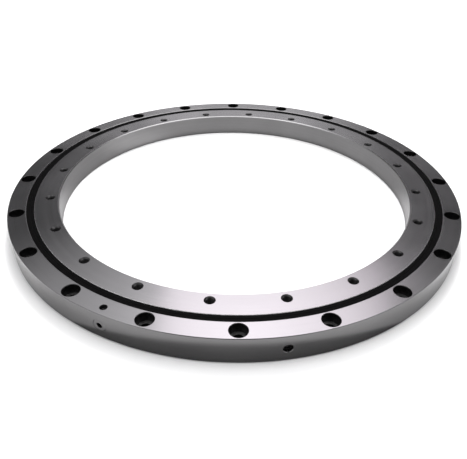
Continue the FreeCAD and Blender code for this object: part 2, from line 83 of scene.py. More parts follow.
# Sizes that the frame doesn't name
RING_GAP = 1.0 * MM
OUTER_WALL = INNER_WALL + RING_GAP
RACEWAY_RADIUS = INNER_WALL + RING_GAP / 2
RACEWAY_HALF_SIDE = 4.3 * MM
RACEWAY_HALF_DIAGONAL = RACEWAY_HALF_SIDE * math.sqrt(2)
RELIEF_HALF = 0.8 * MM
RELIEF_DEPTH = 0.4 * MM
SNAP_DEPTH = 0.5 * MM
SNAP_HEIGHT = 1.2 * MM
RECESS_RADIUS = SNAP_RADIUS - SNAP_DEPTH
RIM_CHAMFER = 0.5 * MM
BORE_CHAMFER = 1.0 * MM
SMALL_CHAMFER = 0.4 * MM
OVERSHOOT = 1.0 * MM
EDGE_RADIUS = 0.15 * MM
SEAL_EDGE_RADIUS = 0.12 * MM
SEAL_HEEL_WIDTH = 3.4 * MM
SEAL_LIP_THICKNESS = 0.9 * MM
SEAL_TIP_RADIUS = INNER_WALL + 0.3 * MM
FOLD_WIDTH = 0.9 * MM
FOLD_DEPTH = 0.25 * MM
COUNTERBORE_RADIUS = 7.5 * MM
COUNTERBORE_DEPTH = 9.0 * MM
HOLE_EDGE = 0.3 * MM
THREAD_RADIUS = 4.0 * MM
THREAD_PITCH = 1.25 * MM
COUNTERSINK_RADIUS = 4.9 * MM
PLUG_RADIUS = 6.0 * MM
EXTRACTION_RADIUS = 2.5 * MM
PIN_POSITION = 232.0 * MM
PIN_RADIUS = 3.0 * MM
PIN_TAPER = 0.01
PIN_INSET = 3.0 * MM
PORT_COUNT = 4
PORT_RADIUS = 4.0 * MM
PORT_DEPTH = 10.5 * MM
CHANNEL_RADIUS = 1.5 * MM

# Angles about the bearing's axis, in degrees from +X
FRONT = -90.0
INNER_RING_TURN = FRONT + 11.5
PLUG_TURN = FRONT - 27.0
PORT_TURN = FRONT + 9.0

RING_SEGMENTS = 720
HOLE_SEGMENTS = 64
THREAD_SEGMENTS = 24
SMOOTH_ANGLE = math.radians(28)

# Telling surfaces apart
HAIR = 0.05 * MM
FLAT = 0.99
SLOPE = 0.3

# Steel finishes: brightness, roughness, width of the tool marks or of the grain, depth of the relief
GROUND_FACE = (0.62, 0.22, 0.35 * MM, 0.0006 * MM)
TURNED_RACEWAY = (0.5, 0.3, 0.25 * MM, 0.003 * MM)
TURNED_BORE = (0.6, 0.32, 0.3 * MM, 0.003 * MM)
TURNED_RIM = (0.5, 0.2, 0.3 * MM, 0.001 * MM)
# Painted shade: the hole mouths are drawn far darker than the ring steel
SHADED_HOLE_MOUTH = (0.1, 0.4, 0.3 * MM, 0.004 * MM)
# Partly painted highlight: the gap edge is drawn lighter than the ring steel, so its real reflection of the
# ceiling softbox reads as a bright line
GAP_EDGE_PAINTED_HIGHLIGHT = (0.8, 0.45, 0.3 * MM, 0.002 * MM)
SPOT_FACED_LEDGE = (0.22, 0.5, 0.3 * MM, 0.004 * MM)
# Painted shade: the holes and threads are drawn far darker than the ring steel
SHADED_DRILLED_HOLE = (0.06, 0.42, 0.3 * MM, 0.006 * MM)
SHADED_THREAD = (0.035, 0.5, 0.3 * MM, 0.006 * MM)
# Painted shade: the taper pin, sunk in its hole, is drawn dark like the holes
SHADED_PIN = (0.16, 0.36, 0.5 * MM, 0.002 * MM)
POLISHED_ROLLER = (0.66, 0.14, 0.8 * MM, 0.0005 * MM)
BLACKENED_NIPPLE = (0.09, 0.42, 0.2 * MM, 0.004 * MM)
SPRING_WIRE = (0.5, 0.28, 0.1 * MM, 0.002 * MM)

# How the steel varies
STEEL_TINT = (1.0, 0.985, 0.995)
FACE_ANISOTROPY = 0.6
QUARTER_TURN = 0.25
BROAD_MARKS = 7
FILM_SCALE = 14.0
CLOUD_SCALE = 0.12
# Painted shade inside the loading plug's extraction hole
PAINTED_HOLE_SHADE = 0.06
MARKED_SHADE = 0.07
MARKED_GLOSS = 0.12
GRAINED_SHADE = 0.25
GRAINED_GLOSS = 0.15
NOISE_SPAN = (0.3, 0.7)
CENTRED = (-0.5, 0.5)

# Rubber and nylon: the ends of each range, and the sizes of the grain and of the clouds
# The rubber is black and also partly painted shade: darker than rubber is, for the shade in the seal recess
RUBBER_BLACK_AND_PAINTED_SHADE = (0.0015, 0.003)
RUBBER_TINT = (1.0, 0.94, 0.97)
RUBBER_ROUGHNESS = (0.5, 0.62)
RUBBER_SHEEN = 0.06
RUBBER_GRAIN = 0.25 * MM
RUBBER_BLOOM = 9.0 * MM
RUBBER_FLOW_LINES = 0.5 * MM
RUBBER_RELIEF = 0.02 * MM
GRAIN_SHARE = 0.6
NYLON_SHADE = (0.62, 0.78)
NYLON_TINT = (1.0, 0.94, 0.82)
NYLON_ROUGHNESS = (0.36, 0.5)
NYLON_CLOUD = 3.0 * MM
NYLON_GRAIN = 0.2 * MM
NYLON_RELIEF = 0.01 * MM
NYLON_GLOW = 0.15
NYLON_GLOW_DEPTH = 1.0 * MM

# The room that the steel mirrors. Each part has a brightness. A turn or an edge is an angle from +Y in
# radians, and a level is how high a direction points, from 0 at the horizon to 1 overhead.
ROOM_DARK = 0.05
ROOM_TINT = (0.98, 0.975, 1.0)
BACK_WALL = 0.38
BACK_WALL_TURN = 0.03
BACK_WALL_EDGE = (0.06, 0.42)
SIDE_WALLS = 0.35
SIDE_WALL_EDGE = (0.8, 1.5)
CAMERA_SIDE_EDGE = (2.3, 2.8)
CAMERA_SIDE_LEVEL = (0.5, 0.65)
GLOW = 0.5
GLOW_TURN = -0.05
GLOW_LEVEL = (0.53, 0.68)
GLOW_EDGE = (0.4, 0.75)

# The sheet that only the steel mirrors. Its brightness is painted shade and painted light, which the steel shows
# as painted
# reflections: a painted shadow round the bearing's foot, a darker front and back, lighter sides and lighter
# patches inside the bore. Each part has a brightness, and its edges are distances in metres between which it fades
# in or out.
PAINTED_SHEET_FRONT_AND_BACK = 0.32
PAINTED_SHEET_SIDES = 0.66
PAINTED_SHEET_SIDES_EDGE = (0.11, 0.2)
PAINTED_SHEET_SHADOW = 0.11
PAINTED_SHEET_SHADOW_SHIFT = 0.075
PAINTED_SHEET_SHADOW_EDGE = (0.183, 0.186)
PAINTED_SHEET_MIDDLE = 0.21
PAINTED_SHEET_MIDDLE_EDGE = (0.19, 0.21)
PAINTED_SHEET_LIGHT_PATCH = 0.12
PAINTED_SHEET_LIGHT_PATCH_PLACE = (-0.105, 0.13, 0.0)
PAINTED_SHEET_LIGHT_PATCH_EDGE = (0.01, 0.05)
PAINTED_SHEET_LIGHT_ENDS = 0.34
PAINTED_SHEET_LIGHT_ENDS_ASIDE = (0.135, 0.16)
PAINTED_SHEET_LIGHT_ENDS_DEPTH = (-0.025, 0.035)
PAINTED_SHEET_LIGHT_ENDS_EDGE = (0.18, 0.195)

# Studio
SOFTBOX_TINT = (1.0, 0.89, 0.985)
FLOOR_RADIUS = 15.0
FLOOR_WHITE = 0.9
FLOOR_GLOW_EDGE = (0.6, 2.5)
CAMERA_PLACE = Vector((-9.87, -495.42, 299.01)) * MM
CAMERA_LENS = 38.54
CAMERA_HEADING = math.radians(-1.06)
CAMERA_DIP = math.radians(34.51)
CAMERA_ROLL = 0.016


# ---------------------------------------------------------------- mesh building


def soften(corners, radius=EDGE_RADIUS, steps=3):
    """The closed outline with each corner rounded. A corner given as (r, z, 0) stays sharp."""
    outline = []
    count = len(corners)
    for index, corner in enumerate(corners):
        here = Vector(corner[:2])
        if len(corner) == 3:
            outline.append(here)
            continue
        before = (Vector(corners[index - 1][:2]) - here).normalized()
        after = (Vector(corners[(index + 1) % count][:2]) - here).normalized()
        half = before.angle(after) / 2
        reach = radius / math.tan(half)
        centre = here + (before + after).normalized() * (radius / math.sin(half))
        start = here + before * reach
        end = here + after * reach
        outline.append(start + before * radius)
        first = start - centre
        sweep = first.angle_signed(end - centre)
        for step in range(steps + 1):
            turned = first.copy()
            turned.rotate(Matrix.Rotation(-sweep * step / steps, 2))
            outline.append(centre + turned)
        outline.append(end + after * radius)
    return outline


def new_object(name, vertices, faces):
    """A mesh object made of vertices and faces, standing at the origin."""
    mesh = bpy.data.meshes.new(name)
    mesh.from_pydata(vertices, [], faces)
    mesh.validate()
    piece = bpy.data.objects.new(name, mesh)
    bpy.context.scene.collection.objects.link(piece)
    return piece


def turned_ring(name, outline):
    """A closed outline of (radius, height) points turned a full circle about Z."""
    count = len(outline)
    vertices = []
    for step in range(RING_SEGMENTS):
        angle = 2 * math.pi * step / RING_SEGMENTS
        vertices += [(r * math.cos(angle), r * math.sin(angle), z) for r, z in outline]
    faces = []
    for step in range(RING_SEGMENTS):
        here = step * count
        there = (step + 1) % RING_SEGMENTS * count
        for index in range(count):
            following = (index + 1) % count
            faces.append((here + index, there + index, there + following, here + following))
    return new_object(name, vertices, faces)


def turned_rod(profile, place, segments=HOLE_SEGMENTS):
    """Vertices and faces of a closed solid turned about its own Z axis and put in place."""
    vertices = []
    for r, z in profile:
        for step in range(segments):
            angle = 2 * math.pi * step / segments
            vertices.append(place @ Vector((r * math.cos(angle), r * math.sin(angle), z)))
    faces = [tuple(range(segments))[::-1]]
    for level in range(len(profile) - 1):
        for step in range(segments):
            following = (step + 1) % segments
            low, high = level * segments, (level + 1) * segments
            faces.append((low + step, low + following, high + following, high + step))
    top = (len(profile) - 1) * segments
    faces.append(tuple(range(top, top + segments)))
    return vertices, faces


def threaded_rod(low, high, place):
    """Vertices and faces of a screw: the crest line climbs one pitch in each turn."""
    levels = (0, 1 / 8, 1 / 2, 5 / 8)
    radii = (THREAD_RADIUS, THREAD_RADIUS, TAP_DRILL_RADIUS, TAP_DRILL_RADIUS)
    per_pitch = len(levels)
    turns = math.ceil((high - low) / THREAD_PITCH) + 1
    rows = turns * per_pitch
    vertices = []
    for row in range(rows):
        lift = low + (row // per_pitch - 1 + levels[row % per_pitch]) * THREAD_PITCH
        radius = radii[row % per_pitch]
        for step in range(THREAD_SEGMENTS):
            share = step / THREAD_SEGMENTS
            angle = 2 * math.pi * share
            z = lift + THREAD_PITCH * share
            vertices.append(place @ Vector((radius * math.cos(angle), radius * math.sin(angle), z)))
    faces = []
    last = THREAD_SEGMENTS - 1
    for row in range(rows - 1):
        for step in range(last):
            here = row * THREAD_SEGMENTS + step
            faces.append((here, here + 1, here + 1 + THREAD_SEGMENTS, here + THREAD_SEGMENTS))
    for row in range(rows - 1 - per_pitch):
        here = row * THREAD_SEGMENTS + last
        start = (row + per_pitch) * THREAD_SEGMENTS
        faces.append((here, start, start + THREAD_SEGMENTS, here + THREAD_SEGMENTS))
    bottom = list(range(THREAD_SEGMENTS))
    bottom += [row * THREAD_SEGMENTS for row in range(per_pitch, 0, -1)]
    faces += fan(vertices, bottom[::-1], place @ Vector((0, 0, low - THREAD_PITCH / 2)))
    top_row = (rows - 1) * THREAD_SEGMENTS
    top = [top_row + step for step in range(THREAD_SEGMENTS)]
    top += [(rows - 1 - back) * THREAD_SEGMENTS + last for back in range(1, per_pitch + 1)]
    faces += fan(vertices, top, place @ Vector((0, 0, low + (turns - 1) * THREAD_PITCH)))
    return vertices, faces


def fan(vertices, loop, centre):
    """Triangles that close a loop of vertices onto a new vertex at its centre."""
    vertices.append(centre)
    hub = len(vertices) - 1
    return [(loop[index], loop[(index + 1) % len(loop)], hub) for index in range(len(loop))]


def cut(piece, solids):
    """Takes closed solids, each a pair of vertices and faces, out of a piece."""
    vertices, faces = [], []
    for solid_vertices, solid_faces in solids:
        start = len(vertices)
        vertices += solid_vertices
        faces += [tuple(start + index for index in face) for face in solid_faces]
    cutter = new_object("cutter", vertices, faces)
    boolean = piece.modifiers.new("holes", "BOOLEAN")
    boolean.operation = "DIFFERENCE"
    boolean.solver = "MANIFOLD"
    boolean.object = cutter
    graph = bpy.context.evaluated_depsgraph_get()
    mesh = bpy.data.meshes.new_from_object(piece.evaluated_get(graph))
    piece.modifiers.remove(boolean)
    piece.data = mesh
    mesh.name = piece.name
    bpy.data.objects.remove(cutter)


def spread(radius, level, turn, count):
    """Upright places round a circle, each at a level."""
    places = []
    for index in range(count):
        angle = math.radians(turn + 360 * index / count)
        places.append(Matrix.Translation((radius * math.cos(angle), radius * math.sin(angle), level)))
    return places


def sideways(turn):
    """A place on the axis at the raceway's level, whose own Z axis points outwards."""
    outwards = Matrix.Rotation(math.radians(turn), 4, "Z") @ Matrix.Rotation(math.pi / 2, 4, "Y")
    return Matrix.Translation((0, 0, RACEWAY_LEVEL)) @ outwards


def shade_smooth(piece):
    """Smooth shading, with every edge sharper than the smooth angle kept crisp."""
    piece.data.shade_smooth()
    piece.data.set_sharp_from_angle(angle=SMOOTH_ANGLE)


# ---------------------------------------------------------------- outlines


def raceway(wall, apex, outward):
    """The V groove with its relief slot, from its lower edge to its upper edge."""
    way = 1 if outward else -1
    opening = abs(apex - wall)
    shoulder = apex - way * RELIEF_HALF
    floor = apex + way * RELIEF_DEPTH
    return [
        (wall, RACEWAY_LEVEL - opening, 0),
        (shoulder, RACEWAY_LEVEL - RELIEF_HALF, 0),
        (floor, RACEWAY_LEVEL - RELIEF_HALF, 0),
        (floor, RACEWAY_LEVEL + RELIEF_HALF, 0),
        (shoulder, RACEWAY_LEVEL + RELIEF_HALF, 0),
        (wall, RACEWAY_LEVEL + opening, 0),
    ]


def seal_recess(face, into):
    """One seal recess with its snap groove, from the ring's face to the wall of the ring gap."""
    floor = face + into * SEAL_FLOOR
    return [
        (RECESS_RADIUS + SMALL_CHAMFER, face),
        (RECESS_RADIUS, face + into * SMALL_CHAMFER),
        (RECESS_RADIUS, floor - into * (SNAP_HEIGHT + SNAP_DEPTH), 0),
        (SNAP_RADIUS, floor - into * SNAP_HEIGHT, 0),
        (SNAP_RADIUS, floor, 0),
        (OUTER_WALL, floor, 0),
    ]


def outer_ring_outline():
    """The outer ring's section: rim, upper recess, raceway, lower recess."""
    rim = [
        (RIM_RADIUS - RIM_CHAMFER, OUTER_BOTTOM),
        (RIM_RADIUS, OUTER_BOTTOM + RIM_CHAMFER),
        (RIM_RADIUS, OUTER_TOP - RIM_CHAMFER),
        (RIM_RADIUS - RIM_CHAMFER, OUTER_TOP),
    ]
    groove = raceway(OUTER_WALL, RACEWAY_RADIUS + RACEWAY_HALF_DIAGONAL, outward=True)[::-1]
    return rim + seal_recess(OUTER_TOP, -1) + groove + seal_recess(OUTER_BOTTOM, 1)[::-1]


def inner_ring_outline():
    """The inner ring's section: lower face, raceway side, upper face, bore."""
    return [
        (BORE_RADIUS + BORE_CHAMFER, INNER_BOTTOM),
        (INNER_WALL - SMALL_CHAMFER, INNER_BOTTOM),
        (INNER_WALL, INNER_BOTTOM + SMALL_CHAMFER),
        *raceway(INNER_WALL, RACEWAY_RADIUS - RACEWAY_HALF_DIAGONAL, outward=False),
        (INNER_WALL, INNER_TOP - SMALL_CHAMFER),
        (INNER_WALL - SMALL_CHAMFER, INNER_TOP),
        (BORE_RADIUS + BORE_CHAMFER, INNER_TOP),
        (BORE_RADIUS, INNER_TOP - BORE_CHAMFER),
        (BORE_RADIUS, INNER_BOTTOM + BORE_CHAMFER),
    ]


# ---------------------------------------------------------------- the two rings


def bolt_hole_profile():
    """A counterbored bolt hole, from below the outer ring to above it."""
    ledge = OUTER_TOP - COUNTERBORE_DEPTH
    return [
        (BOLT_HOLE_RADIUS + HOLE_EDGE + OVERSHOOT, OUTER_BOTTOM - OVERSHOOT),
        (BOLT_HOLE_RADIUS, OUTER_BOTTOM + HOLE_EDGE),
        (BOLT_HOLE_RADIUS, ledge),
        (COUNTERBORE_RADIUS, ledge),
        (COUNTERBORE_RADIUS, OUTER_TOP - SMALL_CHAMFER),
        (COUNTERBORE_RADIUS + SMALL_CHAMFER + OVERSHOOT, OUTER_TOP + OVERSHOOT),
    ]


def pin_hole_profile():
    """The taper pin's hole, widening upwards."""
    pin_top = OUTER_TOP - PIN_INSET
    low, high = OUTER_BOTTOM - OVERSHOOT, OUTER_TOP - HOLE_EDGE
    return [
        (PIN_RADIUS + (low - pin_top) * PIN_TAPER, low),
        (PIN_RADIUS + (high - pin_top) * PIN_TAPER, high),
        (PIN_RADIUS + HOLE_EDGE + OVERSHOOT, OUTER_TOP + OVERSHOOT),
    ]


def port_profile():
    """A grease port: narrow channel from the raceway, then the nipple's wide seat."""
    return [
        (CHANNEL_RADIUS, RACEWAY_RADIUS + RACEWAY_HALF_DIAGONAL),
        (CHANNEL_RADIUS, RIM_RADIUS - PORT_DEPTH),
        (PORT_RADIUS, RIM_RADIUS - PORT_DEPTH),
        (PORT_RADIUS, RIM_RADIUS - HOLE_EDGE),
        (PORT_RADIUS + HOLE_EDGE + OVERSHOOT, RIM_RADIUS + OVERSHOOT),
    ]


def make_outer_ring():
    """The outer ring with its bolt holes, filling hole, pin hole and grease ports."""
    ring = turned_ring("outer_ring_steelwork", soften(outer_ring_outline()))
    holes = [turned_rod(bolt_hole_profile(), place)
             for place in spread(OUTER_BOLT_RADIUS, 0, FRONT, BOLT_COUNT)]
    plug_hole = [(PLUG_RADIUS, RACEWAY_RADIUS), (PLUG_RADIUS, RIM_RADIUS + OVERSHOOT)]
    holes.append(turned_rod(plug_hole, sideways(PLUG_TURN)))
    holes.append(turned_rod(pin_hole_profile(), spread(PIN_POSITION, 0, PLUG_TURN, 1)[0]))
    for index in range(PORT_COUNT):
        holes.append(turned_rod(port_profile(), sideways(PORT_TURN + 360 * index / PORT_COUNT)))
    cut(ring, holes)
    shade_smooth(ring)
    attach(ring, "outer_ring_assembly")
    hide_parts("outer_ring")
    return ring


def countersink_profile(face, way):
    """The cone at one mouth of a tapped hole; way is 1 at the upper face and -1 at the lower."""
    depth = COUNTERSINK_RADIUS - TAP_DRILL_RADIUS
    cone = [
        (TAP_DRILL_RADIUS, face - way * depth),
        (COUNTERSINK_RADIUS + OVERSHOOT, face + way * OVERSHOOT),
    ]
    return cone if way > 0 else cone[::-1]


def make_inner_ring():
    """The inner ring with its threaded holes."""
    ring = turned_ring("inner_ring_steelwork", soften(inner_ring_outline()))
    places = spread(INNER_BOLT_RADIUS, 0, INNER_RING_TURN, BOLT_COUNT)
    cut(ring, [threaded_rod(INNER_BOTTOM, INNER_TOP, place) for place in places])
    cut(ring, [turned_rod(countersink_profile(INNER_TOP, 1), place) for place in places])
    cut(ring, [turned_rod(countersink_profile(INNER_BOTTOM, -1), place) for place in places])
    shade_smooth(ring)
    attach(ring, "inner_ring_assembly")
    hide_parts("inner_ring")
    return ring


# ---------------------------------------------------------------- the seals


def seal_outline(face, into):
    """A seal's section: a heel in the recess and a lip that reaches towards the inner ring."""
    crown = face + into * SEAL_CROWN
    floor = face + into * SEAL_FLOOR
    heel = RECESS_RADIUS - SEAL_HEEL_WIDTH
    lip_top = crown + into * SMALL_CHAMFER
    lip_under = lip_top + into * SEAL_LIP_THICKNESS
    fold = heel - FOLD_WIDTH
    return [
        (SEAL_TIP_RADIUS, lip_under - into * SMALL_CHAMFER),
        (SEAL_TIP_RADIUS, lip_top),
        (fold - FOLD_DEPTH, lip_top),
        (fold, lip_top + into * FOLD_DEPTH),
        (heel - FOLD_DEPTH, lip_top),
        (heel, crown),
        (RECESS_RADIUS - SMALL_CHAMFER, crown),
        (RECESS_RADIUS, crown + into * SMALL_CHAMFER),
        (RECESS_RADIUS, floor - into * (SNAP_HEIGHT + SNAP_DEPTH)),
        (SNAP_RADIUS, floor - into * SNAP_HEIGHT),
        (SNAP_RADIUS, floor),
        (heel, floor),
        (heel, lip_under),
    ]


def make_seal(node, face, into):
    """A rubber seal in place of a packed one."""
    seal = turned_ring(f"{node}_rubber", soften(seal_outline(face, into), SEAL_EDGE_RADIUS))
    shade_smooth(seal)
    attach(seal, "outer_ring_assembly")
    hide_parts(node)
    return seal


# ---------------------------------------------------------------- shader building


class Graph:
    """Short ways to add nodes to a node tree and link them."""

    def __init__(self, tree):
        self.tree = tree

    def node(self, kind, inputs=None, **settings):
        """A new node. Each input is a number, a tuple or another node's output."""
        added = self.tree.nodes.new(kind)
        for name, value in settings.items():
            setattr(added, name, value)
        for name, value in (inputs or {}).items():
            if isinstance(value, bpy.types.NodeSocket):
                self.tree.links.new(value, added.inputs[name])
            else:
                added.inputs[name].default_value = value
        return added

    def maths(self, operation, *values):
        """The output of a maths node."""
        return self.node("ShaderNodeMath", dict(enumerate(values)), operation=operation).outputs[0]

    def scaled(self, value, low, high, start=0.0, end=1.0, smooth=False):
        """The value taken from the range start to end into the range low to high."""
        kind = "SMOOTHSTEP" if smooth else "LINEAR"
        limits = {"Value": value, "From Min": start, "From Max": end, "To Min": low, "To Max": high}
        return self.node("ShaderNodeMapRange", limits, interpolation_type=kind).outputs[0]

    def length(self, vector):
        """The length of a vector."""
        return self.node("ShaderNodeVectorMath", {0: vector}, operation="LENGTH").outputs["Value"]

    def varied(self, value, mean, share, span=NOISE_SPAN):
        """The value taken from its span into the mean plus or minus a share of the mean."""
        return self.scaled(value, mean * (1 - share), mean * (1 + share), *span)

    def grey(self, value, tint=(1.0, 1.0, 1.0)):
        """A colour of that brightness and tint. The tint may be another node's output."""
        scaling = {0: tint, "Scale": value}
        return self.node("ShaderNodeVectorMath", scaling, operation="SCALE").outputs[0]

    def noise(self, place, scale, detail=2.0, w=None):
        """Noise from 0 to 1 at a place, in three dimensions, or in four where w is given."""
        inputs = {"Vector": place, "Scale": scale, "Detail": detail}
        if w is not None:
            inputs["W"] = w
        kind = "3D" if w is None else "4D"
        return self.node("ShaderNodeTexNoise", inputs, noise_dimensions=kind).outputs[0]


def new_material(name, metallic, roughness):
    """A material, its graph and its shader."""
    material = bpy.data.materials.new(name)
    material.use_nodes = True
    graph = Graph(material.node_tree)
    shader = material.node_tree.nodes["Principled BSDF"]
    shader.inputs["Metallic"].default_value = metallic
    shader.inputs["Roughness"].default_value = roughness
    return material, graph, shader


def object_place(graph):
    """The surface point in the object's own coordinates, in metres."""
    return graph.node("ShaderNodeTexCoord").outputs["Object"]


def set_relief(graph, shader, height, depth, strength=1.0):
    """A bump of that depth from a height between 0 and 1."""
    bump = graph.node("ShaderNodeBump", {"Height": height, "Distance": depth, "Strength": strength})
    graph.tree.links.new(bump.outputs[0], shader.inputs["Normal"])


def link_input(graph, shader, name, value):
    """Feeds one of the shader's inputs."""
    graph.tree.links.new(value, shader.inputs[name])


# ---------------------------------------------------------------- materials


def ring_marks(graph, place, pitch):
    """Fine tool marks that run round the bearing's axis, one about every pitch."""
    axes = graph.node("ShaderNodeSeparateXYZ", {0: place}).outputs
    flat = graph.node("ShaderNodeCombineXYZ", {"X": axes["X"], "Y": axes["Y"]}).outputs[0]
    radius = graph.length(flat)
    heading = graph.node("ShaderNodeVectorMath", {0: flat}, operation="NORMALIZE").outputs[0]
    turn = graph.node("ShaderNodeSeparateXYZ", {0: heading}).outputs
    across = graph.maths("DIVIDE", radius, pitch)
    along = graph.maths("DIVIDE", axes["Z"], pitch)
    where = {"X": across, "Y": turn["X"], "Z": turn["Y"]}
    point = graph.node("ShaderNodeCombineXYZ", where).outputs[0]
    return graph.noise(point, 1.0, detail=3.0, w=along)


def machined_steel(name, finish, anisotropy=0.0):
    """Bright steel with tool marks round the bearing's axis and a thin, uneven film of oil."""
    brightness, roughness, marks_pitch, marks_depth = finish
    material, graph, shader = new_material(name, 1.0, roughness)
    place = object_place(graph)
    fine = ring_marks(graph, place, marks_pitch)
    broad = ring_marks(graph, place, marks_pitch * BROAD_MARKS)
    film = graph.noise(place, FILM_SCALE, detail=4.0)
    marks = graph.maths("ADD", graph.scaled(fine, *CENTRED), graph.scaled(broad, *CENTRED))
    patchy = graph.maths("ADD", marks, graph.scaled(film, *CENTRED, *NOISE_SPAN))
    shade = graph.varied(patchy, brightness, MARKED_SHADE, CENTRED)
    link_input(graph, shader, "Base Color", graph.grey(shade, STEEL_TINT))
    link_input(graph, shader, "Roughness", graph.varied(patchy, roughness, MARKED_GLOSS, CENTRED))
    set_relief(graph, shader, fine, marks_depth)
    if anisotropy:
        lay = graph.node("ShaderNodeTangent", direction_type="RADIAL", axis="Z")
        link_input(graph, shader, "Tangent", lay.outputs[0])
        shader.inputs["Anisotropic"].default_value = anisotropy
        shader.inputs["Anisotropic Rotation"].default_value = QUARTER_TURN
    return material


def grained_steel(name, finish):
    """Steel with an even fine grain and faint cloudy staining."""
    brightness, roughness, grain, depth = finish
    material, graph, shader = new_material(name, 1.0, roughness)
    place = object_place(graph)
    fine = graph.noise(place, 1 / grain, detail=3.0)
    cloud = graph.noise(place, CLOUD_SCALE / grain, detail=3.0)
    shade = graph.varied(cloud, brightness, GRAINED_SHADE)
    link_input(graph, shader, "Base Color", graph.grey(shade, STEEL_TINT))
    link_input(graph, shader, "Roughness", graph.varied(fine, roughness, GRAINED_GLOSS))
    set_relief(graph, shader, fine, depth)
    return material


def plug_end_steel():
    """The loading plug's steel, turned flush with the rim, with painted shade darkening its extraction hole."""
    material = machined_steel("turned_plug_end", TURNED_RIM)
    graph = Graph(material.node_tree)
    shader = material.node_tree.nodes["Principled BSDF"]
    place = object_place(graph)
    turn = math.radians(PLUG_TURN)
    along_rim = {0: place, 1: (-math.sin(turn), math.cos(turn), 0.0)}
    across = graph.node("ShaderNodeVectorMath", along_rim, operation="DOT_PRODUCT").outputs["Value"]
    height = graph.node("ShaderNodeSeparateXYZ", {0: place}).outputs["Z"]
    up = graph.maths("SUBTRACT", height, RACEWAY_LEVEL)
    squares = graph.maths("ADD", graph.maths("MULTIPLY", across, across), graph.maths("MULTIPLY", up, up))
    from_axis = graph.maths("SQRT", squares)
    # Painted shade: inside the extraction hole the steel is drawn nearly black.
    edge = (EXTRACTION_RADIUS + HAIR, EXTRACTION_RADIUS + 2 * HAIR)
    oil = graph.scaled(from_axis, PAINTED_HOLE_SHADE, 1.0, *edge)
    clean = shader.inputs["Base Color"].links[0].from_socket
    link_input(graph, shader, "Base Color", graph.grey(oil, clean))
    return material


def seal_rubber():
    """Black rubber, drawn darker than rubber is as painted shade in the seal recess, with a fine moulded grain, a
    faint mould line and a slight sheen.
    """
    material, graph, shader = new_material("seal_rubber_black_and_painted_shade", 0.0, RUBBER_ROUGHNESS[0])
    place = object_place(graph)
    grain = graph.noise(place, 1 / RUBBER_GRAIN, detail=4.0)
    bloom = graph.noise(place, 1 / RUBBER_BLOOM, detail=3.0)
    flow = ring_marks(graph, place, RUBBER_FLOW_LINES)
    # Black, and partly painted shade in the seal recess
    shade = graph.scaled(bloom, *RUBBER_BLACK_AND_PAINTED_SHADE, *NOISE_SPAN)
    link_input(graph, shader, "Base Color", graph.grey(shade, RUBBER_TINT))
    link_input(graph, shader, "Roughness", graph.scaled(bloom, *RUBBER_ROUGHNESS, *NOISE_SPAN))
    grained = graph.scaled(grain, 0.0, GRAIN_SHARE)
    relief = graph.maths("ADD", grained, graph.scaled(flow, 0.0, 1 - GRAIN_SHARE))
    set_relief(graph, shader, relief, RUBBER_RELIEF)
    shader.inputs["Specular IOR Level"].default_value = RUBBER_SHEEN
    return material


def spacer_nylon():
    """Natural nylon: creamy, slightly waxy and a little translucent."""
    material, graph, shader = new_material("spacer_nylon", 0.0, NYLON_ROUGHNESS[0])
    place = object_place(graph)
    cloud = graph.noise(place, 1 / NYLON_CLOUD, detail=3.0)
    grain = graph.noise(place, 1 / NYLON_GRAIN, detail=3.0)
    shade = graph.scaled(cloud, *NYLON_SHADE, *NOISE_SPAN)
    link_input(graph, shader, "Base Color", graph.grey(shade, NYLON_TINT))
    link_input(graph, shader, "Roughness", graph.scaled(grain, *NYLON_ROUGHNESS, *NOISE_SPAN))
    set_relief(graph, shader, grain, NYLON_RELIEF)
    shader.inputs["Subsurface Weight"].default_value = NYLON_GLOW
    shader.inputs["Subsurface Scale"].default_value = NYLON_GLOW_DEPTH
    return material


# ---------------------------------------------------------------- where each finish goes


def paint_faces(piece, finishes, choose):
    """Gives each face of a piece the finish whose name a rule picks from the face's centre and normal."""
    names = list(finishes)
    piece.data.materials.clear()
    for name in names:
        piece.data.materials.append(finishes[name])
    for face in piece.data.polygons:
        face.material_index = names.index(choose(face.center, face.normal))


def outer_ring_surface(centre, normal):
    """Which surface of the outer ring a face belongs to."""
    radius = math.hypot(centre.x, centre.y)
    outwards = (centre.x * normal.x + centre.y * normal.y) / radius
    depth = min(OUTER_TOP - centre.z, centre.z - OUTER_BOTTOM)
    if abs(normal.z) > FLAT and depth < HAIR:
        return "face"
    if radius > RIM_RADIUS - RIM_CHAMFER - HAIR and outwards > SLOPE:
        return "wall"
    if radius < SNAP_RADIUS + HAIR:
        return "raceway"
    if depth < SMALL_CHAMFER + HAIR:
        return "edge"
    return "ledge" if normal.z > FLAT else "hole"


def inner_ring_surface(centre, normal):
    """Which surface of the inner ring a face belongs to."""
    radius = math.hypot(centre.x, centre.y)
    depth = min(INNER_TOP - centre.z, centre.z - INNER_BOTTOM)
    if abs(normal.z) > FLAT and depth < HAIR:
        return "face"
    if radius < BORE_RADIUS + BORE_CHAMFER + HAIR:
        return "wall"
    if radius > INNER_WALL - SMALL_CHAMFER - HAIR and depth < SMALL_CHAMFER:
        return "gap edge"
    if radius > INNER_BOLT_RADIUS + COUNTERSINK_RADIUS + HAIR:
        return "raceway"
    return "edge" if depth < COUNTERSINK_RADIUS - TAP_DRILL_RADIUS + HAIR else "hole"


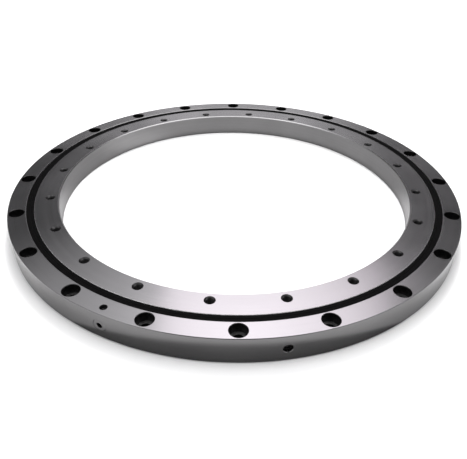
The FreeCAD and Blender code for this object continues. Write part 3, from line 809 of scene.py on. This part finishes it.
def finish_packed_pieces():
    """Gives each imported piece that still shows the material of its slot."""
    # Painted shade on the inset taper pin
    shaded_pin = grained_steel("shaded_pin_steel", SHADED_PIN)
    by_slot = {
        "plug_steel": plug_end_steel(),
        "roller_steel": grained_steel("polished_roller_steel", POLISHED_ROLLER),
        "nipple_steel": grained_steel("blackened_nipple_steel", BLACKENED_NIPPLE),
        "spring_steel": grained_steel("spring_wire_steel", SPRING_WIRE),
        "spacer_plastic": spacer_nylon(),
    }
    for name, node in frame["nodes"].items():
        for slot in node.material_slots:
            if name == "plug_taper_pin":
                slot.material = shaded_pin
            elif slot.material.name in by_slot:
                slot.material = by_slot[slot.material.name]


def build_bearing():
    """Both rings, both seals and the finish of everything else."""
    shared = {
        "face": machined_steel("ground_ring_face", GROUND_FACE, FACE_ANISOTROPY),
        "raceway": machined_steel("turned_raceway", TURNED_RACEWAY),
        # Painted shade at the hole mouths
        "edge": grained_steel("shaded_hole_mouth_steel", SHADED_HOLE_MOUTH),
    }
    outer_finishes = {
        **shared,
        "wall": machined_steel("turned_rim", TURNED_RIM),
        # Painted shade in the bolt, pin, plug and port holes
        "hole": grained_steel("shaded_drilled_hole_steel", SHADED_DRILLED_HOLE),
        "ledge": grained_steel("spot_faced_ledge_steel", SPOT_FACED_LEDGE),
    }
    inner_finishes = {
        **shared,
        "wall": machined_steel("turned_bore", TURNED_BORE),
        # Painted shade in the threaded holes
        "hole": grained_steel("shaded_thread_steel", SHADED_THREAD),
        # Partly painted highlight along the ring gap
        "gap edge": grained_steel("gap_edge_steel_painted_highlight", GAP_EDGE_PAINTED_HIGHLIGHT),
    }
    paint_faces(make_outer_ring(), outer_finishes, outer_ring_surface)
    paint_faces(make_inner_ring(), inner_finishes, inner_ring_surface)
    rubber = seal_rubber()
    for node, level, into in (("upper_seal", OUTER_TOP, -1), ("lower_seal", OUTER_BOTTOM, 1)):
        make_seal(node, level, into).data.materials.append(rubber)
    finish_packed_pieces()


# ---------------------------------------------------------------- studio


def make_world():
    """What polished steel sees above the table: a dim room with a lit back wall and pale sides."""
    world = bpy.data.worlds.new("studio")
    world.use_nodes = True
    bpy.context.scene.world = world
    graph = Graph(world.node_tree)
    direction = graph.node("ShaderNodeTexCoord").outputs["Generated"]
    axes = graph.node("ShaderNodeSeparateXYZ", {0: direction}).outputs
    heading = graph.maths("ARCTAN2", axes["X"], axes["Y"])
    from_back = graph.maths("ABSOLUTE", heading)
    from_wall = graph.maths("ABSOLUTE", graph.maths("SUBTRACT", heading, BACK_WALL_TURN))
    from_glow = graph.maths("ABSOLUTE", graph.maths("SUBTRACT", heading, GLOW_TURN))
    back_wall = graph.scaled(from_wall, BACK_WALL, 0.0, *BACK_WALL_EDGE, smooth=True)
    side_walls = graph.scaled(from_back, 0.0, SIDE_WALLS, *SIDE_WALL_EDGE, smooth=True)
    beside_camera = graph.scaled(from_back, 1.0, 0.0, *CAMERA_SIDE_EDGE, smooth=True)
    below_camera = graph.scaled(axes["Z"], 1.0, 0.0, *CAMERA_SIDE_LEVEL, smooth=True)
    around_camera = graph.maths("MAXIMUM", beside_camera, below_camera)
    glow_height = graph.scaled(axes["Z"], 0.0, GLOW, *GLOW_LEVEL, smooth=True)
    glow_width = graph.scaled(from_glow, 1.0, 0.0, *GLOW_EDGE, smooth=True)
    glow = graph.maths("MULTIPLY", glow_height, glow_width)
    walls = graph.maths("ADD", back_wall, graph.maths("MULTIPLY", side_walls, around_camera))
    brightness = graph.maths("ADD", graph.maths("ADD", walls, glow), ROOM_DARK)
    background = world.node_tree.nodes["Background"]
    graph.tree.links.new(graph.grey(brightness, ROOM_TINT), background.inputs["Color"])


def area_light(name, azimuth, elevation, distance, size, power, mirrored, tint=(1.0, 1.0, 1.0)):
    """A soft rectangular light aimed at the bearing's centre. Azimuth is from +Y towards +X."""
    data = bpy.data.lights.new(name, "AREA")
    data.shape = "RECTANGLE"
    data.size, data.size_y = size
    data.energy = power
    data.color = tint
    light = bpy.data.objects.new(name, data)
    turn = Matrix.Rotation(-math.radians(azimuth), 4, "Z")
    lean = Matrix.Rotation(math.radians(elevation), 4, "X")
    place = turn @ lean @ Vector((0, distance, 0))
    light.location = place
    light.rotation_euler = place.to_track_quat("Z", "Y").to_euler()
    light.visible_glossy = mirrored
    light.visible_camera = False
    bpy.context.scene.collection.objects.link(light)


def make_lights():
    """Two softboxes that the steel mirrors, and two lights that only brighten the table."""
    area_light("softbox", azimuth=9.5, elevation=52.5, distance=2.2, size=(1.22, 1.1), power=3.25,
               mirrored=True, tint=SOFTBOX_TINT)
    area_light("ceiling_softbox", azimuth=167, elevation=81, distance=2.0, size=(4.0, 1.4), power=24.3,
               mirrored=True)
    area_light("table_key", azimuth=5, elevation=62, distance=2.2, size=(0.6, 0.6), power=30,
               mirrored=False)
    area_light("table_fill", azimuth=0, elevation=90, distance=2.0, size=(1.2, 1.2), power=20,
               mirrored=False)


def show_only_to(piece, rays):
    """Hides a stage piece from every kind of ray but these."""
    for ray in ("camera", "diffuse", "glossy", "transmission", "volume_scatter", "shadow"):
        setattr(piece, f"visible_{ray}", ray in rays)


def disc(name, level):
    """A wide flat disc centred on the bearing's axis."""
    turns = [2 * math.pi * step / HOLE_SEGMENTS for step in range(HOLE_SEGMENTS)]
    rim = [(FLOOR_RADIUS * math.cos(turn), FLOOR_RADIUS * math.sin(turn), level) for turn in turns]
    return new_object(name, rim, [tuple(range(HOLE_SEGMENTS))])


def make_floor():
    """The pale floor that the camera sees. Far out it glows, so that its edge melts into the backdrop."""
    floor = disc("floor", -HAIR)
    white, graph, shader = new_material("pale_floor", 0.0, 1.0)
    shader.inputs["Base Color"].default_value = (FLOOR_WHITE, FLOOR_WHITE, FLOOR_WHITE, 1.0)
    shader.inputs["Specular IOR Level"].default_value = 0.0
    shader.inputs["Emission Color"].default_value = (1.0, 1.0, 1.0, 1.0)
    reach = graph.length(object_place(graph))
    glow = graph.scaled(reach, 0.0, 1.0, *FLOOR_GLOW_EDGE, smooth=True)
    link_input(graph, shader, "Emission Strength", glow)
    floor.data.materials.append(white)
    show_only_to(floor, ("camera", "diffuse", "shadow"))


def make_painted_reflection_sheet():
    """A sheet in the floor's place that only the steel sees. Its colour is painted shade and painted light: a
    painted shadow where the bearing stands, a darker front and back, lighter sides and lighter patches inside the
    bore.
    """
    reflection_sheet = disc("painted_reflection_sheet", -HAIR / 2)
    painted_sheet_material, graph, shader = new_material("painted_reflection_sheet", 0.0, 1.0)
    shader.inputs["Specular IOR Level"].default_value = 0.0
    place = object_place(graph)
    radius = graph.length(place)
    axes = graph.node("ShaderNodeSeparateXYZ", {0: place}).outputs
    off_centre = graph.maths("ABSOLUTE", axes["Y"])
    # Painted shade and light: the sheet is darker at the front and back and lighter at the sides.
    lit = graph.scaled(off_centre, PAINTED_SHEET_SIDES, PAINTED_SHEET_FRONT_AND_BACK, *PAINTED_SHEET_SIDES_EDGE, smooth=True)
    # Painted shadow of the bearing: a dark disc round its foot, shifted towards the front and, mirrored, towards
    # the back.
    shift = {"X": axes["X"], "Y": graph.maths("SUBTRACT", off_centre, PAINTED_SHEET_SHADOW_SHIFT)}
    reach = graph.length(graph.node("ShaderNodeCombineXYZ", shift).outputs[0])
    with_painted_shadow = graph.scaled(reach, PAINTED_SHEET_SHADOW, lit, *PAINTED_SHEET_SHADOW_EDGE, smooth=True)
    # Painted light inside the bore: a brightness of its own there, a lighter patch at the left back and lighter
    # ends at the sides.
    middle = graph.scaled(radius, 1.0, 0.0, *PAINTED_SHEET_MIDDLE_EDGE, smooth=True)
    to_patch = {0: place, 1: PAINTED_SHEET_LIGHT_PATCH_PLACE}
    distance = graph.node("ShaderNodeVectorMath", to_patch, operation="DISTANCE").outputs["Value"]
    lightest = PAINTED_SHEET_MIDDLE + PAINTED_SHEET_LIGHT_PATCH
    patch = graph.scaled(distance, lightest, PAINTED_SHEET_MIDDLE, *PAINTED_SHEET_LIGHT_PATCH_EDGE, smooth=True)
    off_side = graph.maths("ABSOLUTE", axes["X"])
    aside = graph.scaled(off_side, 0.0, 1.0, *PAINTED_SHEET_LIGHT_ENDS_ASIDE, smooth=True)
    before = graph.scaled(axes["Y"], 1.0, 0.0, *PAINTED_SHEET_LIGHT_ENDS_DEPTH, smooth=True)
    within = graph.scaled(radius, PAINTED_SHEET_LIGHT_ENDS, 0.0, *PAINTED_SHEET_LIGHT_ENDS_EDGE, smooth=True)
    ends = graph.maths("MULTIPLY", graph.maths("MULTIPLY", aside, before), within)
    inside = graph.maths("ADD", patch, ends)
    mixed = graph.node("ShaderNodeMix", {0: middle, 2: with_painted_shadow, 3: inside}).outputs[0]
    link_input(graph, shader, "Base Color", graph.grey(mixed))
    reflection_sheet.data.materials.append(painted_sheet_material)
    show_only_to(reflection_sheet, ("glossy",))


def make_backdrop():
    """A white dome behind everything that only the camera sees."""
    lifts = [math.radians(lift) for lift in range(-80, 81, 10)]
    profile = [(FLOOR_RADIUS * math.cos(lift), FLOOR_RADIUS * math.sin(lift)) for lift in lifts]
    dome = new_object("backdrop", *turned_rod(profile, Matrix.Identity(4)))
    white, _, shader = new_material("white_backdrop", 0.0, 1.0)
    shader.inputs["Base Color"].default_value = (0.0, 0.0, 0.0, 1.0)
    shader.inputs["Emission Color"].default_value = (1.0, 1.0, 1.0, 1.0)
    shader.inputs["Emission Strength"].default_value = 1.0
    dome.data.materials.append(white)
    dome.data.shade_smooth()
    show_only_to(dome, ("camera",))


def make_camera():
    """The camera, in front of the bearing and looking down across it."""
    data = bpy.data.cameras.new("camera")
    data.lens = CAMERA_LENS
    camera = bpy.data.objects.new("camera", data)
    turn = Matrix.Rotation(CAMERA_HEADING, 4, "Z")
    lean = Matrix.Rotation(math.pi / 2 - CAMERA_DIP, 4, "X")
    roll = Matrix.Rotation(CAMERA_ROLL, 4, "Z")
    camera.matrix_world = Matrix.Translation(CAMERA_PLACE) @ turn @ lean @ roll
    bpy.context.scene.collection.objects.link(camera)
    bpy.context.scene.camera = camera


build_bearing()
make_world()
make_lights()
make_floor()
make_painted_reflection_sheet()
make_backdrop()
make_camera()
bpy.context.scene.view_settings.view_transform = "Standard"
